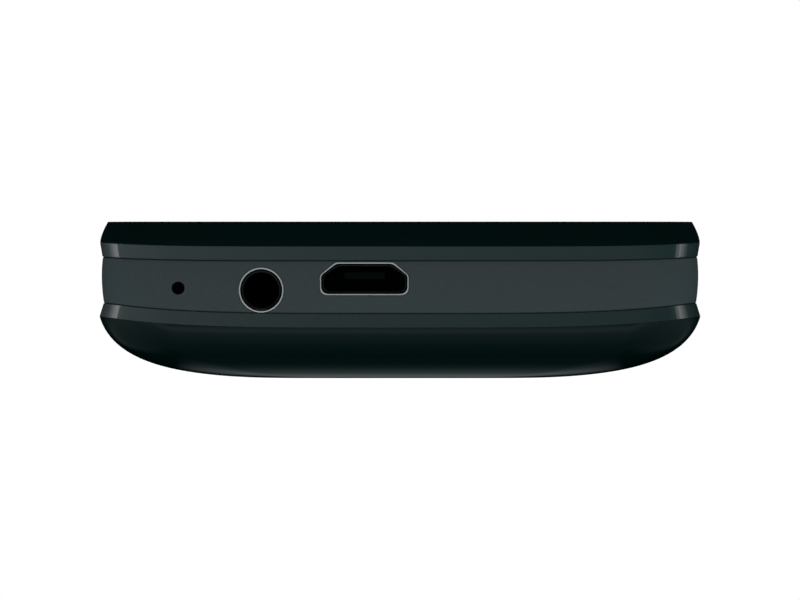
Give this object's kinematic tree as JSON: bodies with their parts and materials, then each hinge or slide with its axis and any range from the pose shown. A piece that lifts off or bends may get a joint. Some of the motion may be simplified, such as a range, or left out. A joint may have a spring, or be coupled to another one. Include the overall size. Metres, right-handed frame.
{
  "type": "mobile phone",
  "caption": "Closed clamshell mobile phone with sloped lid, satin bands, curved gloss back, micro-USB and headphone sockets in its end face.",
  "frame": {"origin": "middle of the rest face, at the centre of the box", "axes": "+Y from the port end to the hinge, +Z from the back cover to the lid"},
  "size_m": [0.0542, 0.106, 0.0141],
  "materials": {
    "gloss_black_shell": "gloss moulded",
    "satin_band": "satin",
    "black_glass": "gloss",
    "key_plastic": "satin moulded",
    "nickel_plate": "plated",
    "spring_steel": "plain",
    "circuit_board": "solder mask",
    "silicone": "matt",
    "black_polymer": "moulded",
    "battery_film": "film wrap",
    "polyester_film": "film"
  },
  "bodies": {
    "base": {"rear_housing": "gloss_black_shell", "front_housing": "satin_band", "hinge_cap_left": "satin_band", "hinge_cap_right": "satin_band", "camera_window": "black_glass", "usb_receptacle": "nickel_plate", "microphone": "nickel_plate", "shield_can": "nickel_plate", "sim_socket": "nickel_plate", "vibration_motor": "nickel_plate", "hinge_cartridge": "spring_steel", "hinge_pin": "spring_steel", "antenna": "spring_steel", "main_board": "circuit_board", "keypad_mat": "silicone", "microphone_boot": "silicone", "usb_tongue": "black_polymer", "headphone_jack": "black_polymer", "battery_connector": "black_polymer", "loudspeaker": "black_polymer", "camera_module": "black_polymer", "battery": "battery_film", "dome_sheet": "polyester_film"},
    "lid": {"lid_outer_cover": "gloss_black_shell", "lid_inner_housing": "satin_band", "main_display_window": "black_glass", "main_display_module": "nickel_plate", "outer_display_window": "black_glass", "outer_display_module": "nickel_plate", "earpiece_receiver": "black_polymer", "lid_circuit_board": "circuit_board", "lid_bumper_left": "silicone", "lid_bumper_right": "silicone"},
    "cover": {"battery_cover": "gloss_black_shell"},
    "weight": {"vibration_weight": "spring_steel"},
    "key_star": {"key_star": "key_plastic"},
    "key_0": {"key_0": "key_plastic"},
    "key_hash": {"key_hash": "key_plastic"},
    "key_7": {"key_7": "key_plastic"},
    "key_8": {"key_8": "key_plastic"},
    "key_9": {"key_9": "key_plastic"},
    "key_4": {"key_4": "key_plastic"},
    "key_5": {"key_5": "key_plastic"},
    "key_6": {"key_6": "key_plastic"},
    "key_1": {"key_1": "key_plastic"},
    "key_2": {"key_2": "key_plastic"},
    "key_3": {"key_3": "key_plastic"},
    "key_call": {"key_call": "key_plastic"},
    "key_clear": {"key_clear": "key_plastic"},
    "key_end": {"key_end": "key_plastic"},
    "soft_key_left": {"soft_key_left": "key_plastic"},
    "soft_key_right": {"soft_key_right": "key_plastic"},
    "ok_key": {"ok_key": "key_plastic"},
    "nav_rocker": {"nav_rocker_plate": "black_polymer"},
    "nav_ring": {"nav_ring": "key_plastic"},
    "volume_rocker": {"volume_rocker": "satin_band"},
    "side_key": {"side_key": "satin_band"}
  },
  "joints": [
    {"name": "lid_hinge", "type": "hinge", "parent": "base", "child": "lid", "pos_m": [0, 0.047, 0.0093], "axis": [-1, 0, 0], "range_deg": [0, 160]},
    {"name": "cover_slide", "type": "slide", "parent": "base", "child": "cover", "axis": [0, -1, 0], "range_m": [0, 0.084]},
    {"name": "weight_spin", "type": "hinge", "parent": "base", "child": "weight", "pos_m": [0.0165, 0.0426, 0.00345], "axis": [0, -1, 0], "continuous": true},
    {"name": "key_star_press", "type": "slide", "parent": "base", "child": "key_star", "axis": [0, 0, -1], "range_m": [0, 0.00025], "stiffness_N_per_m": 150, "springref_m": -0.0004},
    {"name": "key_0_press", "type": "slide", "parent": "base", "child": "key_0", "axis": [0, 0, -1], "range_m": [0, 0.00025], "stiffness_N_per_m": 150, "springref_m": -0.0004},
    {"name": "key_hash_press", "type": "slide", "parent": "base", "child": "key_hash", "axis": [0, 0, -1], "range_m": [0, 0.00025], "stiffness_N_per_m": 150, "springref_m": -0.0004},
    {"name": "key_7_press", "type": "slide", "parent": "base", "child": "key_7", "axis": [0, 0, -1], "range_m": [0, 0.00025], "stiffness_N_per_m": 150, "springref_m": -0.0004},
    {"name": "key_8_press", "type": "slide", "parent": "base", "child": "key_8", "axis": [0, 0, -1], "range_m": [0, 0.00025], "stiffness_N_per_m": 150, "springref_m": -0.0004},
    {"name": "key_9_press", "type": "slide", "parent": "base", "child": "key_9", "axis": [0, 0, -1], "range_m": [0, 0.00025], "stiffness_N_per_m": 150, "springref_m": -0.0004},
    {"name": "key_4_press", "type": "slide", "parent": "base", "child": "key_4", "axis": [0, 0, -1], "range_m": [0, 0.00025], "stiffness_N_per_m": 150, "springref_m": -0.0004},
    {"name": "key_5_press", "type": "slide", "parent": "base", "child": "key_5", "axis": [0, 0, -1], "range_m": [0, 0.00025], "stiffness_N_per_m": 150, "springref_m": -0.0004},
    {"name": "key_6_press", "type": "slide", "parent": "base", "child": "key_6", "axis": [0, 0, -1], "range_m": [0, 0.00025], "stiffness_N_per_m": 150, "springref_m": -0.0004},
    {"name": "key_1_press", "type": "slide", "parent": "base", "child": "key_1", "axis": [0, 0, -1], "range_m": [0, 0.00025], "stiffness_N_per_m": 150, "springref_m": -0.0004},
    {"name": "key_2_press", "type": "slide", "parent": "base", "child": "key_2", "axis": [0, 0, -1], "range_m": [0, 0.00025], "stiffness_N_per_m": 150, "springref_m": -0.0004},
    {"name": "key_3_press", "type": "slide", "parent": "base", "child": "key_3", "axis": [0, 0, -1], "range_m": [0, 0.00025], "stiffness_N_per_m": 150, "springref_m": -0.0004},
    {"name": "key_call_press", "type": "slide", "parent": "base", "child": "key_call", "axis": [0, 0, -1], "range_m": [0, 0.00025], "stiffness_N_per_m": 150, "springref_m": -0.0004},
    {"name": "key_clear_press", "type": "slide", "parent": "base", "child": "key_clear", "axis": [0, 0, -1], "range_m": [0, 0.00025], "stiffness_N_per_m": 150, "springref_m": -0.0004},
    {"name": "key_end_press", "type": "slide", "parent": "base", "child": "key_end", "axis": [0, 0, -1], "range_m": [0, 0.00025], "stiffness_N_per_m": 150, "springref_m": -0.0004},
    {"name": "soft_key_left_press", "type": "slide", "parent": "base", "child": "soft_key_left", "axis": [0, 0, -1], "range_m": [0, 0.00025], "stiffness_N_per_m": 150, "springref_m": -0.0004},
    {"name": "soft_key_right_press", "type": "slide", "parent": "base", "child": "soft_key_right", "axis": [0, 0, -1], "range_m": [0, 0.00025], "stiffness_N_per_m": 150, "springref_m": -0.0004},
    {"name": "ok_key_press", "type": "slide", "parent": "base", "child": "ok_key", "axis": [0, 0, -1], "range_m": [0, 0.0002], "stiffness_N_per_m": 150, "springref_m": -0.0004},
    {"name": "nav_tilt_up_down", "type": "hinge", "parent": "base", "child": "nav_rocker", "pos_m": [0, 0.0225, 0.00865], "axis": [1, 0, 0], "range_deg": [-1, 1], "stiffness_Nm_per_rad": 0.2},
    {"name": "nav_tilt_left_right", "type": "hinge", "parent": "nav_rocker", "child": "nav_ring", "pos_m": [0, 0.0225, 0.00865], "axis": [0, 1, 0], "range_deg": [-1, 1], "stiffness_Nm_per_rad": 0.2},
    {"name": "volume_rock", "type": "hinge", "parent": "base", "child": "volume_rocker", "pos_m": [-0.0257, 0.016, 0.0083], "axis": [0, 0, 1], "range_deg": [-1, 1], "stiffness_Nm_per_rad": 0.1},
    {"name": "side_key_press", "type": "slide", "parent": "base", "child": "side_key", "axis": [-1, 0, 0], "range_m": [0, 0.0002], "stiffness_N_per_m": 150, "springref_m": -0.0004}
  ]
}
